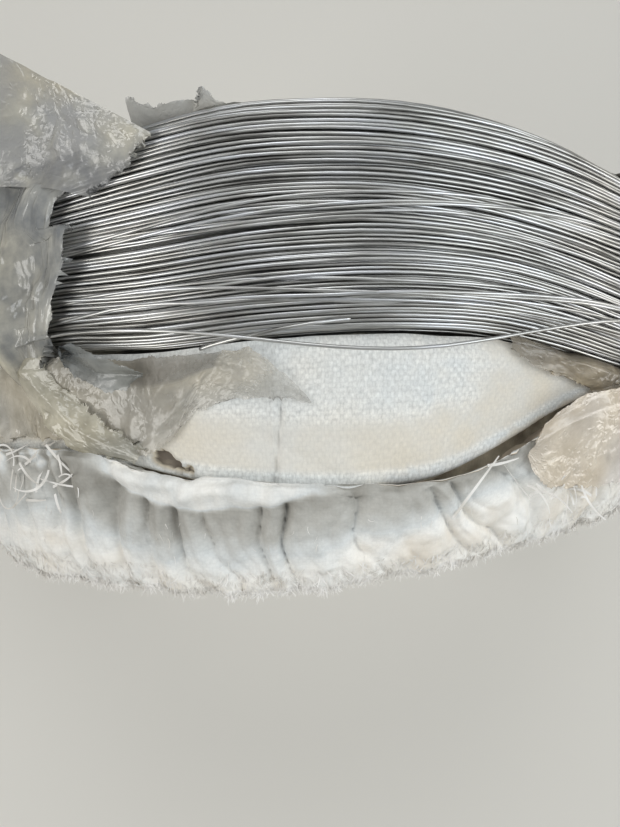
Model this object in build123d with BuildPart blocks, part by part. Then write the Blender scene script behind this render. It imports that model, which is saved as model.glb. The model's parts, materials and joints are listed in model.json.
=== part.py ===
"""A coil of round stainless wire, standing on its rim in the wrapping it is sold in.

The wire is wound without a reel, so the coil is a ring of turns round an open eye.
It is lined with clear film and covered with white woven cloth. Both are cut open over
the top of the rim, where the bare turns show, and a flap of the cloth is folded out
to the front, where its cut edge is gathered into a thick band.

Units are millimetres. The axis of the coil runs along Y and the front faces -Y. +Z is
up, and the origin is on the floor under the middle of the whole outline. Angles round
the axis start at the top and grow towards +X.
"""

import os
from math import cos, radians, sin

from build123d import *

# The wire, and the coil that it makes
wire = 1.6
eye_radius = 175.0
coil_depth = 50.0
coil_width = 100.0
coil_bevel = 12.0

# The lays of turns that stand proud: on the rim, where they have parted, and on each end
rim_lays = 3
rim_lay_width = 20.0
rim_lay_shift = -1.0
rim_lay_depth = 1.5 * wire
end_lays = 2
end_lay_depth = 0.75 * wire

# The wrapping: how thick its crumpled layers lie, and the air between them
seat_gap = 0.3
film_thickness = 0.9
cloth_thickness = 2.0

# Where each layer is cut open over the rim, in degrees from the top
film_left_angle = -31.0
film_right_angle = 47.0
cloth_left_angle = -44.0
cloth_right_angle = 51.0

# The flap: where it lies on the front end, how far it stands out, and its frayed edge
flap_left_angle = -60.0
flap_right_angle = 62.0
flap_root = 18.0
flap_rise = 34.0
flap_bend = 9.0
flap_reach = 100.0
flap_drop = 34.0
flap_edge_radius = 520.0

# The gathered band along that edge: its depth at the middle, the fold it starts at, and its thickness
band_depth = 40.0
band_fold_radius = 230.0
band_thickness = 10.5
band_edge_thickness = 3.0

# What follows from these
coil_radius = eye_radius + coil_depth
middle_radius = eye_radius + coil_depth / 2
film_outside = seat_gap + film_thickness
cloth_inside = film_outside + seat_gap
cloth_outside = cloth_inside + cloth_thickness
end_face = coil_width / 2 + cloth_outside
flap_back = end_face + seat_gap
flap_edge = flap_back + flap_reach
axis_height = coil_radius + cloth_outside
coil_middle = (flap_edge - end_face) / 2
coil_axis = Axis((0, coil_middle, axis_height), (0, 1, 0))


def section_plane(angle):
    """The half section at an angle: local x runs along the axis, local y out from it."""
    turn = radians(angle)
    return Plane(coil_axis.position, x_dir=coil_axis.direction, z_dir=(cos(turn), 0, -sin(turn)))


def lay_grooves(middle, angle, width, depth, lays):
    """V grooves side by side along one side of the section, which leave a crest between each two."""
    with Locations(Location((*middle, 0), (0, 0, angle))):
        with GridLocations(width, 0, lays, 1):
            Polygon((-width / 2, 0), (0, -depth), (width / 2, 0), align=None, mode=Mode.SUBTRACT)


def sleeve_section(inside, outside, open_rim=False):
    """A layer of wrapping round the coil's section, with its rim cut away where it is open."""
    with BuildSketch() as section:
        for spare, mode in ((outside, Mode.ADD), (inside, Mode.SUBTRACT)):
            with BuildSketch(mode=Mode.PRIVATE) as outline:
                with Locations((0, middle_radius)):
                    Rectangle(coil_width, coil_depth)
                chamfer(outline.vertices().group_by(Axis.Y)[-1], coil_bevel)
                offset(amount=spare, kind=Kind.INTERSECTION)
            add(outline.sketch, mode=mode)
        if open_rim:
            with Locations((0, coil_radius)):
                Rectangle(2 * coil_width, 2 * coil_bevel, mode=Mode.SUBTRACT)
    return section.sketch


def sleeve(inside, outside, left, right):
    """A layer of wrapping round the whole ring, open over the rim from left to right."""
    with BuildPart() as layer:
        with BuildSketch(section_plane(right)):
            add(sleeve_section(inside, outside))
        revolve(axis=coil_axis, revolution_arc=360 - (right - left))
        with BuildSketch(section_plane(left)):
            add(sleeve_section(inside, outside, open_rim=True))
        revolve(axis=coil_axis, revolution_arc=right - left)
    return layer.part


# The coil, one turned ring with the lays of its turns on its rim and both ends
with BuildPart() as wire_coil:
    with BuildSketch(section_plane(0)) as coil_section:
        with Locations((0, middle_radius)):
            Rectangle(coil_width, coil_depth)
        chamfer(coil_section.vertices(), coil_bevel)
        lay_grooves((rim_lay_shift, coil_radius), 0, rim_lay_width, rim_lay_depth, rim_lays)
        end_lay_width = (coil_depth - 2 * coil_bevel) / end_lays
        for side in (-1, 1):
            end_middle = (side * coil_width / 2, middle_radius)
            lay_grooves(end_middle, -90 * side, end_lay_width, end_lay_depth, end_lays)
    revolve(axis=coil_axis)

# The clear film that lines the wrapping
with BuildPart() as film_wrap:
    add(sleeve(seat_gap, film_outside, film_left_angle, film_right_angle))

# The woven cloth round the ring
with BuildPart() as woven_wrap:
    add(sleeve(cloth_inside, cloth_outside, cloth_left_angle, cloth_right_angle))

# The band of the flap, from the fold in the cloth to the cut edge
flap_crest = (-flap_back - flap_bend, eye_radius + flap_rise)
flap_tip = (-flap_edge, eye_radius + flap_rise - flap_drop)
with BuildPart() as band:
    with BuildSketch(section_plane(flap_left_angle)):
        with BuildLine():
            slope = Line(flap_crest, flap_tip)
            Polyline(
                slope @ 0,
                slope @ 0 + Vector(0, band_thickness),
                slope @ 0.7 + Vector(0, band_thickness),
                slope @ 1 + Vector(0, band_edge_thickness),
                slope @ 1,
            )
        make_face()
    revolve(axis=coil_axis, revolution_arc=flap_right_angle - flap_left_angle)
    with BuildSketch(Plane.XY.offset(axis_height)):
        with Locations((0, coil_middle - flap_edge + band_depth + band_fold_radius)):
            Circle(band_fold_radius)
    extrude(amount=2 * coil_radius, mode=Mode.SUBTRACT)

# The flap of the same cloth, bent out from the front end and cut along an arc
with BuildPart() as cloth_flap:
    with BuildSketch(section_plane(flap_left_angle)):
        with BuildLine():
            Polyline(
                (-flap_back, eye_radius + flap_root),
                (-flap_back, eye_radius + flap_rise - flap_bend),
                flap_crest,
                flap_tip,
            )
            offset(amount=cloth_thickness, side=Side.LEFT, kind=Kind.INTERSECTION)
        make_face()
    revolve(axis=coil_axis, revolution_arc=flap_right_angle - flap_left_angle)
    add(band.part)
    with BuildSketch(Plane.XY.offset(axis_height)):
        with Locations((0, coil_middle - flap_edge + flap_edge_radius)):
            Circle(flap_edge_radius)
    extrude(amount=coil_radius, mode=Mode.INTERSECT)

pieces = {
    "wire_coil": wire_coil,
    "film_wrap": film_wrap,
    "woven_wrap": woven_wrap,
    "cloth_flap": cloth_flap,
}
os.makedirs("parts", exist_ok=True)
for name, piece in pieces.items():
    piece.part.label = name
    export_step(piece.part, f"parts/{name}.step")
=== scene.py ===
"""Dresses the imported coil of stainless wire: its turns, its film, its woven cloth, and a plain stage.

Everything is in metres, in the coil's own frame. A place on the coil is given as an angle round
its axis, from the top towards +X, how far across the coil it lies, from the front to the back,
and how far out from the axis. The lines that turns, cuts and torn edges follow are in degrees and
millimetres.
"""

import json
from math import cos, pi, radians, sin, sqrt, tau

import bmesh
import bpy
import numpy as np
from bpy.props import FloatProperty, FloatVectorProperty, IntProperty, PointerProperty
from mathutils import Matrix, Vector, noise


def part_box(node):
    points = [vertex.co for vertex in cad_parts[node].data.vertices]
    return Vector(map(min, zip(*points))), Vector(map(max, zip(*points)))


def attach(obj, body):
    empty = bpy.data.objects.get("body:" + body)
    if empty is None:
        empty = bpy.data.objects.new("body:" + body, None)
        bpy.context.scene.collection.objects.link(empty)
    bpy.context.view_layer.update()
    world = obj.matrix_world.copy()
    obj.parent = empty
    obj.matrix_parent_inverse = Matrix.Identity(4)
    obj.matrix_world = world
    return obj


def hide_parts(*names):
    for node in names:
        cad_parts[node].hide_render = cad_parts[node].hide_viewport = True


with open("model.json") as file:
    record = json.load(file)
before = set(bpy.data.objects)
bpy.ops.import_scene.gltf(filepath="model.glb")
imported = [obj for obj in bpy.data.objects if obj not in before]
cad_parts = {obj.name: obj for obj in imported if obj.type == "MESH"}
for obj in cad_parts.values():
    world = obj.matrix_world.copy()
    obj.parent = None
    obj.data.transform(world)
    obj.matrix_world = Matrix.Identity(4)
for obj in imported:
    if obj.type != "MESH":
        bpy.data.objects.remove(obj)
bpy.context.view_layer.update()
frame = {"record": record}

bl_info = {
    "name": "Wire Coil",
    "version": (1, 0, 0),
    "blender": (4, 5, 0),
    "location": "View3D > Sidebar > Wire Coil",
    "description": "Builds the turns, the wrapping and the stage of a coil of stainless wire",
    "category": "Object",
}

MM = 0.001

# The coil's place and size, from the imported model
COIL_LOW, COIL_HIGH = (np.array(corner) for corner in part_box("wire_coil"))
COIL_MIDDLE = (COIL_LOW + COIL_HIGH) / 2
COIL_RADIUS = (COIL_HIGH[0] - COIL_LOW[0]) / 2
COIL_WIDTH = COIL_HIGH[1] - COIL_LOW[1]
EYE = next(mount for mount in frame["record"]["mounts"] if mount["name"] == "eye")
EYE_RADIUS = EYE["dims"]["r_mm"] * MM
WRAP_THICKNESS = COIL_LOW[2]
COIL_EYE_RADIUS = EYE_RADIUS + WRAP_THICKNESS

# The wire's thickness in millimetres, and how many pitches apart the rows of nested round wires lie
WIRE = 1.6
NESTED_ROWS = 0.866

# How far off the coil the film and the cloth lie, and where each is cut open over the rim, in degrees
FILM_OFF, CLOTH_OFF = 0.9 * MM, 2.4 * MM
FILM_OPENING, CLOTH_OPENING = (-31, 47), (-37, 50)

# Where the wrapping presses the coil's two ends in or lets them bulge, across the coil
FRONT_EDGE = (
    (-60, -50), (-31, -48), (-20, -54), (-14, -54), (-6, -51.5), (2, -50), (8, -48.6), (22, -48.4),
    (31, -51.6), (42, -54.7), (62, -50),
)
BACK_EDGE = ((-60, 50), (-31, 43), (-15, 50.5), (-8, 54), (10, 54), (25, 49.6), (42, 44.5), (62, 50))

# Where the wires part, each line with half the width of its parting in millimetres
PARTINGS = (
    (
        (
            (-40, 9), (-27.3, 13.8), (-17.4, 18.1), (-10.4, 17.9), (0.9, 19.2), (16.5, 17.9), (26.9, 17.6),
            (42.2, 16.4),
        ),
        1.1,
    ),
    (((-17.5, -8.5), (-10, -4.2), (-4.5, -2), (0.8, 0.8), (7, 2.2)), 1.3),
    (((-31, -34), (-24, -36), (-15, -40)), 1.5),
)

# Turns that wander over the others
CROSSING_TURNS = (
    ((-26.1, -8.7), (-18.4, -6.3), (-10.4, -1.5), (-6.0, 1.4), (0.8, 4.1), (7.1, 4.6), (15.9, 6.4)),
    ((-22.5, -10.8), (-17.2, -8.7), (-10.4, -6.3), (0.8, -1.1), (7.1, 0.3), (16.2, 2.1), (24.5, 3.5)),
    (
        (-5.5, -7.9), (0.7, -5.9), (8.1, -3.5), (14.7, -1.5), (17.3, -1.9), (23.5, -3.8), (30.7, -5.7),
        (40.7, -7.8),
    ),
    ((2.8, -6.8), (9.3, -7.2), (20.9, -8.8), (32.2, -12.2), (40.5, -13.9)),
    ((5.5, -2.5), (8.1, -0.9), (14.2, 1.2), (20.8, 3.0), (28.3, 3.7), (35.5, 4.4), (41.5, 6.1)),
    (
        (-26.6, -42.3), (-23.6, -38.7), (-19.9, -37.0), (-16.7, -37.7), (-10.8, -40.8), (-4.6, -42.8),
        (2.5, -45.9),
    ),
    ((-19.6, -32.3), (-14.7, -32.9), (-8.6, -34.7), (-2.6, -36.9), (2.6, -38.2)),
    ((-29.1, -42.1), (-22.2, -43.3), (-15.2, -44.8), (-8.9, -44.3), (2.6, -43.6)),
    ((2.5, -44.5), (7.7, -42.7), (14.2, -40.1), (21.4, -37.6), (29.8, -35.2), (39.7, -32.3)),
    ((7.7, -39.0), (14.2, -38.0), (23.3, -36.0), (39.8, -31.8)),
    ((2.6, -31.5), (5.6, -32.4), (7.3, -34.4), (9.0, -34.2), (14.2, -32.5)),
)
# The one turn that has sprung out in front of the coil, across it and out from its axis
LOOSE_TURN = (
    (-60, -44), (-30.8, -45.6), (-23.1, -46.7), (-17.9, -48.3), (-13.1, -50.9), (-6.4, -55.3), (0.4, -59.2),
    (6.8, -61.5), (11.3, -61.2), (18.4, -57.5), (23.7, -52.6), (28.1, -48.3), (33.0, -43.7), (42.2, -35.9),
    (60, -30),
)
LOOSE_OUT = (
    (-60, 212), (-44, 215), (-37, 221), (-31, 224.8), (-20, 225), (-6, 221.5), (2, 220), (11, 219.5),
    (20, 222), (29, 225.6), (42, 225.6), (60, 223),
)

# The cut end of the wire, which has sprung off the front: degrees, across, and out from the axis
CUT_END = (
    (-12.2, -55.8, 210.6), (-10.6, -54.6, 211.6), (-8.6, -53.6, 213.3), (-6.6, -52.8, 215.2),
    (-4.7, -52.0, 216.4), (-2.5, -50.6, 217), (1, -48.5, 216.5), (5, -46, 213.5),
)

# Loose tapes of the flap that stand apart, each from its first end to its last: degrees, across, and out
# from the axis
LOOSE_TAPES = (
    ((18.1, -127.4, 194.7), (23.4, -102.3, 204.1)),
    ((22.0, -105.7, 202.7), (26.3, -104.1, 203.5)),
    ((-33.9, -89.8, 208.8), (-30.8, -105.9, 202.8)),
    ((-34.6, -107.9, 202.1), (-29.5, -104.5, 203.4)),
    ((-40.8, -98.5, 205.6), (-34.2, -92.7, 207.8)),
    ((-41.0, -112.1, 200.4), (-36.8, -114.5, 199.6)),
    ((-42.5, -91.0, 208.3), (-37.4, -89.8, 208.8)),
    ((-32.3, -94.7, 207.0), (-32.1, -103.4, 203.8)),
)
# The folded-out flap: its two ends in degrees, the fold where its smooth sheet ends and its band begins, and
# the frayed outer edge of the band
FLAP_ENDS = (-60, 62)
BAND_FOLD = (
    (-60, -80), (-50, -86), (-37, -92), (-28, -96), (-21, -103), (-11.5, -110), (-1, -114.5), (8, -114),
    (16, -111), (25.5, -96), (34.5, -77), (44, -66), (57, -60), (62, -60),
)
BAND_EDGE = (
    (-62, -132), (-53, -143), (-39, -149), (-27, -154), (-17, -156), (-8, -158), (1, -156), (9, -153),
    (17.4, -148.6), (26.6, -142), (38, -135), (62, -118),
)
# How high the smooth sheet lies, by how far across it is, and how wide the gap at the fold is
SHEET_PROFILE = (
    (-160, 176), (-104, 194), (-90, 199), (-75, 204), (-64, 208), (-58, 209.5), (-53, 209), (-49, 207)
)
FOLD_GAP = (
    (-24, -1.5), (-20.5, 1), (-18.5, 6), (-16.5, 4), (-14, -1), (-10, -1.5), (6, -1), (12, 0.2), (16, 1.4),
    (20, 3.4), (25, 6.0), (28, 4.6), (30.5, 2.4), (34, 4.4), (39, 4.0), (44, 0.5),
)


def linear(hex_colour):
    """An sRGB hex colour as linear red, green, blue and alpha."""
    channels = [int(hex_colour[i : i + 2], 16) / 255 for i in (1, 3, 5)]
    return (*(c / 12.92 if c <= 0.04045 else ((c + 0.055) / 1.055) ** 2.4 for c in channels), 1.0)


def place(angle, across, out):
    """Points in the frame from angles in radians, distances across the coil and out from its axis."""
    return np.stack(
        np.broadcast_arrays(
            COIL_MIDDLE[0] + out * np.sin(angle),
            COIL_MIDDLE[1] + across,
            COIL_MIDDLE[2] + out * np.cos(angle),
        ),
        axis=-1,
    )


def add_node(tree, kind, inputs=None, stops=(), **settings):
    """Adds a node with its own settings, each input given as a value or as the socket that feeds it.

    The stops are those of a colour ramp, from low to high.
    """
    node = tree.nodes.new("ShaderNode" + kind)
    for name, value in settings.items():
        setattr(node, name, value)
    for socket, value in (inputs or {}).items():
        if isinstance(value, bpy.types.NodeSocket):
            tree.links.new(value, node.inputs[socket])
        else:
            node.inputs[socket].default_value = value
    for number, (position, colour) in enumerate(stops):
        ramp = node.color_ramp.elements
        stop = ramp[number] if number < 2 else ramp.new(position)
        stop.position, stop.color = position, linear(colour)
    return node


def new_material(name):
    """A material that uses nodes and has none yet, and its tree."""
    material = bpy.data.materials.new(name)
    material.use_nodes = True
    material.node_tree.nodes.clear()
    return material, material.node_tree


def new_piece(name, mesh, material, nodes=()):
    """Puts a finished mesh in the scene as a piece that rides on the body."""
    for polygon in mesh.polygons:
        polygon.use_smooth = True
    mesh.materials.append(material)
    piece = bpy.data.objects.new(name, mesh)
    bpy.context.scene.collection.objects.link(piece)
    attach(piece, "root")
    if nodes:
        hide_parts(*nodes)
    return piece


def finished(bm, name):
    """Makes a mesh of a bmesh that is done."""
    mesh = bpy.data.meshes.new(name)
    bm.to_mesh(mesh)
    bm.free()
    return mesh


def vertex_places(mesh):
    """The places of a mesh's vertices, one row each."""
    places = np.empty(len(mesh.vertices) * 3)
    mesh.vertices.foreach_get("co", places)
    return places.reshape(-1, 3)


def add_shades(mesh, **shades):
    """Gives each vertex a value for each of these names, which the materials read."""
    for label, values in shades.items():
        mesh.attributes.new(label, "FLOAT", "POINT").data.foreach_set("value", values.ravel())


def spun(bm, outline, steps):
    """Turns an outline once round the coil's axis, with its faces outwards."""
    middle = Vector(COIL_MIDDLE)
    bmesh.ops.spin(bm, geom=outline, cent=middle, axis=(0, 1, 0), angle=tau, steps=steps, use_merge=True)
    bmesh.ops.recalc_face_normals(bm, faces=bm.faces)


def top_degrees(angle):
    """Angles in radians as degrees from the top, from -180 to 180."""
    return (np.degrees(angle) + 180) % 360 - 180


def lengths_along(line):
    """How far along a line each of its points lies."""
    return np.r_[0, np.cumsum(np.linalg.norm(np.diff(line, axis=0), axis=1))]


def eased(line, angle):
    """Reads a line of degrees and millimetres at these angles, rounded off at its corners."""
    turn = top_degrees(angle)
    return MM * np.mean([np.interp(turn + shift, *zip(*line)) for shift in (-4, -2, 0, 2, 4)], axis=0)


def pressed(angle, across):
    """Places across a coil with flat ends, moved to where its pressed ends have them."""
    front, back = eased(FRONT_EDGE, angle), eased(BACK_EDGE, angle)
    return front + (across / COIL_WIDTH + 0.5) * (back - front)


def unpressed(angle, across):
    """Places across the pressed coil, moved back to where flat ends would have them."""
    front, back = eased(FRONT_EDGE, angle), eased(BACK_EDGE, angle)
    return ((across - front) / (back - front) - 0.5) * COIL_WIDTH


def smoothstep(value):
    """A soft step from 0 to 1."""
    value = np.clip(value, 0, 1)
    return value * value * (3 - 2 * value)


def resample(points, count):
    """Points spaced evenly along a line through these ones."""
    points = np.array(points, float)
    length = lengths_along(points)
    return np.stack([np.interp(np.linspace(0, length[-1], count), length, part) for part in points.T], axis=1)


# Turns of wire


def ring_mesh(steps, sides, radius):
    """One turn of round wire at the rim, as a mesh, with each vertex's step and offsets from the middle."""
    bm = bmesh.new()
    turned = (
        Matrix.Translation(Vector(COIL_MIDDLE) + Vector((0, 0, COIL_RADIUS))) @ Matrix.Rotation(
            pi / 2, 4, "Y"
        )
    )
    bmesh.ops.create_circle(bm, segments=sides, radius=radius, matrix=turned)
    spun(bm, bm.verts[:] + bm.edges[:], steps)
    mesh = finished(bm, "turn")
    x, y, z = (vertex_places(mesh) - COIL_MIDDLE).T
    step = np.round(np.arctan2(x, z) % tau / tau * steps).astype(int) % steps
    return mesh, step, y, np.hypot(x, z) - COIL_RADIUS


def settle(across, out, wire, pull, passes):
    """Turns laid at these places, one row each, pushed off each other until they lie side by side.

    Each pass pushes touching turns apart, draws each towards where it was laid, and bends it straighter.
    """
    # How many thicknesses apart two turns may still meet, how firmly they push, and how stiff the wire is
    reach, firmness, stiffness = 2.2, 0.42, 0.25
    laid_across, laid_out = across.copy(), out.copy()
    near = np.zeros((len(across), len(across)), bool)
    for step in range(0, across.shape[1], 2):
        gap = np.hypot(
            across[:, None, step] - across[None, :, step], out[:, None, step] - out[None, :, step]
        )
        near |= gap < reach * wire
    np.fill_diagonal(near, False)
    one, other = np.nonzero(near)
    starts = np.searchsorted(one, np.arange(len(across)))
    alone = np.bincount(one, minlength=len(across)) == 0
    for _ in range(passes):
        side = across[one] - across[other]
        rise = out[one] - out[other]
        gap = np.maximum(np.hypot(side, rise), 1e-6)
        push = firmness * np.maximum(wire - gap, 0) / gap
        for places, shift, laid in ((across, side, laid_across), (out, rise, laid_out)):
            total = np.add.reduceat(push * shift, np.minimum(starts, len(one) - 1), axis=0)
            total[alone] = 0
            places += total + pull[:, None] * (laid - places)
            places += stiffness * (np.roll(places, 1, axis=1) + np.roll(places, -1, axis=1) - 2 * places)


def section_depth(across, out, bevel):
    """How deep a place in the coil's section lies below its beveled outline."""
    width, top = COIL_WIDTH / 2 - np.abs(across), COIL_RADIUS - out
    return np.minimum(np.minimum(width, top), (width + top - bevel) / sqrt(2))


def lay_turns(size, angle, rng):
    """Where the outer turns lie at each angle before they settle, and how deep each lies in the coil."""
    wire, pitch, lowest = size.wire, size.pitch, COIL_RADIUS - size.side_depth
    rows, columns = int(size.side_depth / (pitch * NESTED_ROWS)) + 2, int(COIL_WIDTH / pitch) + 2
    row, column = np.mgrid[0:rows, 0:columns]
    across = (column - columns / 2 + 0.5 * (row % 2)) * pitch
    out = COIL_RADIUS - wire / 2 - row * pitch * NESTED_ROWS
    across, out = (a.ravel() + rng.uniform(-0.16, 0.16, a.size) * pitch for a in (across, out))
    deep = section_depth(across, out, size.bevel)
    # Here and there a turn is left out, so that they don't lie packed all over
    kept = (deep > 0.42 * wire) & (deep < size.depth) & (out > lowest) & (rng.random(deep.size) > 0.04)
    across, out, deep = across[kept, None], out[kept, None], deep[kept]
    sway, swell = np.zeros((2, len(deep), len(angle)))
    # Neighbouring turns sway together in long waves, and each has shorter waves of its own
    for wave in range(1, 8):
        lean, amount, turn = rng.uniform(0, tau), 1.4 / wave**0.6, rng.uniform(0.02, 0.09) / MM
        sway += amount * MM * np.cos(wave * angle + lean + turn * across)
        swell += 0.2 * MM * np.cos(wave * angle + lean + 2.5 * turn * across)
    for wave in range(2, 11):
        own = rng.normal(0, 0.42 / wave**0.5, (len(deep), 1)) * MM
        own[rng.random(len(deep)) < 0.12] *= 2.2
        sway += own * np.cos(wave * angle + rng.uniform(0, tau, (len(deep), 1)))
    across, out = across + sway, out + swell
    turn = top_degrees(angle)
    for line, opening in PARTINGS:
        first, last = line[0][0], line[-1][0]
        opened = opening * MM * smoothstep((turn - first) / 8 + 0.3) * smoothstep((last - turn) / 8 + 0.3)
        aside = across - unpressed(angle, eased(line, angle))
        near = np.exp(-np.abs(aside) / (7 * MM) - deep[:, None] / (4 * MM))
        across = across + opened * near * np.sign(aside)
    return across, out, deep


def hand_laid(size, angle):
    """The crossing turns and the loose one, one row each, which ride on the others over the open rim."""
    turn = top_degrees(angle)
    across, out = [], []
    for line in CROSSING_TURNS:
        first, last = line[0][0], line[-1][0]
        risen = smoothstep((turn - first) / 8 + 0.6) * smoothstep((last - turn) / 8 + 0.6)
        across.append(unpressed(angle, eased(line, angle)))
        out.append(COIL_RADIUS - size.wire / 2 + (1.6 * risen - 0.5) * MM)
    across.append(unpressed(angle, eased(LOOSE_TURN, angle)))
    out.append(eased(LOOSE_OUT, angle))
    return np.array(across), np.array(out)


def turns_mesh(name, across, out, wire, sides):
    """A mesh of closed turns, each one ring of wire bent to its own line, with its length as an attribute."""
    stations = across.shape[1]
    turn, step, aside, up = ring_mesh(stations, sides, wire / 2)
    bm = bmesh.new()
    for _ in across:
        bm.from_mesh(turn)
    mesh = finished(bm, name)
    angle = step / stations * tau
    points = place(angle, across[:, step] + aside, out[:, step] + up)
    mesh.vertices.foreach_set("co", points.ravel())
    from_top = (angle + pi) % tau - pi
    numbers = np.linspace(0, 1, len(across))[:, None]
    along, number = (np.broadcast_to(part, points.shape[:2]) for part in (from_top * COIL_RADIUS, numbers))
    add_shades(mesh, along=along, turn=number)
    bpy.data.meshes.remove(turn)
    return mesh


def cut_end_mesh(wire):
    """A length of wire with a square cut at its end, and its length as an attribute."""
    steps = 40
    line = resample([place(radians(angle), across * MM, out * MM) for angle, across, out in CUT_END], steps)
    line[1:-1] = (line[:-2] + 2 * line[1:-1] + line[2:]) / 4
    bm = bmesh.new()
    bmesh.ops.create_cone(bm, cap_ends=True, segments=10, radius1=wire / 2, radius2=wire / 2, depth=2)
    sides = [edge for edge in bm.edges if abs(edge.verts[0].co.z - edge.verts[1].co.z) > 1]
    bmesh.ops.subdivide_edges(bm, edges=sides, cuts=steps - 2)
    ahead = np.gradient(line, axis=0)
    ahead /= np.linalg.norm(ahead, axis=1, keepdims=True)
    side = np.cross(ahead, (0, 0, 1))
    side /= np.linalg.norm(side, axis=1, keepdims=True)
    up = np.cross(side, ahead)
    for vert in bm.verts:
        x, y, z = vert.co
        step = round((z + 1) / 2 * (steps - 1))
        vert.co = line[step] + x * side[step] + y * up[step]
    bmesh.ops.recalc_face_normals(bm, faces=bm.faces)
    mesh = finished(bm, "cut end")
    along = vertex_places(mesh)[:, 0]
    add_shades(mesh, along=along, turn=np.full(len(along), 0.37))
    return mesh


def core_mesh(size):
    """The inside of the coil as one ring, with a ridge for each turn on its two ends and its eye."""
    half, lowest, sunk = COIL_WIDTH / 2, COIL_RADIUS - size.side_depth, size.depth - size.wire
    cut = size.bevel + sqrt(2) * sunk - sunk
    side = [
        (half, COIL_EYE_RADIUS),
        (half, lowest),
        (half - sunk, lowest),
        (half - sunk, COIL_RADIUS - cut),
        (half - cut, COIL_RADIUS - sunk),
    ]
    bm = bmesh.new()
    corners = side + [(-across, out) for across, out in reversed(side)]
    verts = [bm.verts.new(place(0.0, across, out)) for across, out in corners]
    edges = [bm.edges.new((one, other)) for one, other in zip(verts, verts[1:] + verts[:1])]
    end = lowest - COIL_EYE_RADIUS
    for edge, length in ((edges[0], end), (edges[-2], end), (edges[-1], COIL_WIDTH)):
        bmesh.ops.subdivide_edges(bm, edges=[edge], cuts=2 * int(length / size.wire) - 1)
    # Every second vertex of the ends and the eye is sunk, which leaves a ridge between each two
    hollow, near = 0.35 * size.wire, 1e-6
    ends = [v.co - Vector(COIL_MIDDLE) for v in bm.verts]
    for vert, at in zip(bm.verts, ends):
        if abs(abs(at.y) - half) < near and round((at.z - COIL_EYE_RADIUS) / size.wire * 2) % 2:
            vert.co.y -= hollow * at.y / half
        elif abs(at.z - COIL_EYE_RADIUS) < near and round((at.y + half) / size.wire * 2) % 2:
            vert.co.z += hollow
    spun(bm, bm.verts[:] + bm.edges[:], size.stations)
    mesh = finished(bm, "core")
    x, y, z = (vertex_places(mesh) - COIL_MIDDLE).T
    angle, out = np.arctan2(x, z), np.hypot(x, z)
    mesh.vertices.foreach_set("co", place(angle, pressed(angle, y), out).ravel())
    add_shades(mesh, along=angle * COIL_RADIUS, turn=(y + out) / MM / WIRE % 1)
    return mesh


def drawn_steel():
    """Bright drawn stainless wire: a satin metal with faint draw marks, and some turns warmer or duller."""
    material, tree = new_material("bright drawn stainless steel")
    along = add_node(tree, "Attribute", attribute_name="along")
    turn = add_node(tree, "Attribute", attribute_name="turn")
    spot = add_node(tree, "CombineXYZ", {"X": along.outputs["Fac"], "Y": turn.outputs["Fac"]})
    # Dull and bright lengths are some 40 mm long, and change from each turn to the next
    stretched = add_node(
        tree, "VectorMath", {0: spot.outputs["Vector"], 1: (25, 900, 1)}, operation="MULTIPLY"
    )
    dull = add_node(tree, "TexNoise", {"Vector": stretched.outputs["Vector"], "Scale": 1.0, "Detail": 2.0})
    stops = ((0.3, "#8a8884"), (0.48, "#c6c5c1"), (0.68, "#dcdddf"))
    tint = add_node(tree, "ValToRGB", {"Fac": dull.outputs["Fac"]}, stops)
    rough = add_node(tree, "MapRange", {"Value": dull.outputs["Fac"], "To Min": 0.4, "To Max": 0.24})
    shader = add_node(
        tree,
        "BsdfPrincipled",
        {"Base Color": tint.outputs["Color"], "Roughness": rough.outputs["Result"], "Metallic": 1.0},
    )
    add_node(tree, "OutputMaterial", {"Surface": shader.outputs["BSDF"]})
    return material


# Sheets of cloth and film


def outward(points):
    """The way off a sheet's surface at each of its points, away from the middle of the coil's section."""
    normal = np.cross(np.gradient(points, axis=0), np.gradient(points, axis=1))
    normal /= np.maximum(np.linalg.norm(normal, axis=2, keepdims=True), 1e-12)
    x, z = points[..., 0] - COIL_MIDDLE[0], points[..., 2] - COIL_MIDDLE[2]
    ring = place(np.arctan2(x, z), 0, (COIL_EYE_RADIUS + COIL_RADIUS) / 2)
    return normal * np.sign(np.sum(normal * (points - ring)))


def cut_size(points):
    """Each point's place on the flat sheet, from the mean lengths of its rows and columns."""
    across, along = (
        np.cumsum(np.linalg.norm(np.diff(points, axis=axis), axis=2).mean(axis=1 - axis)) for axis in (0, 1)
    )
    return np.stack(np.broadcast_arrays(np.r_[0, along][None, :], np.r_[0, across][:, None]), axis=-1)


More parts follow.
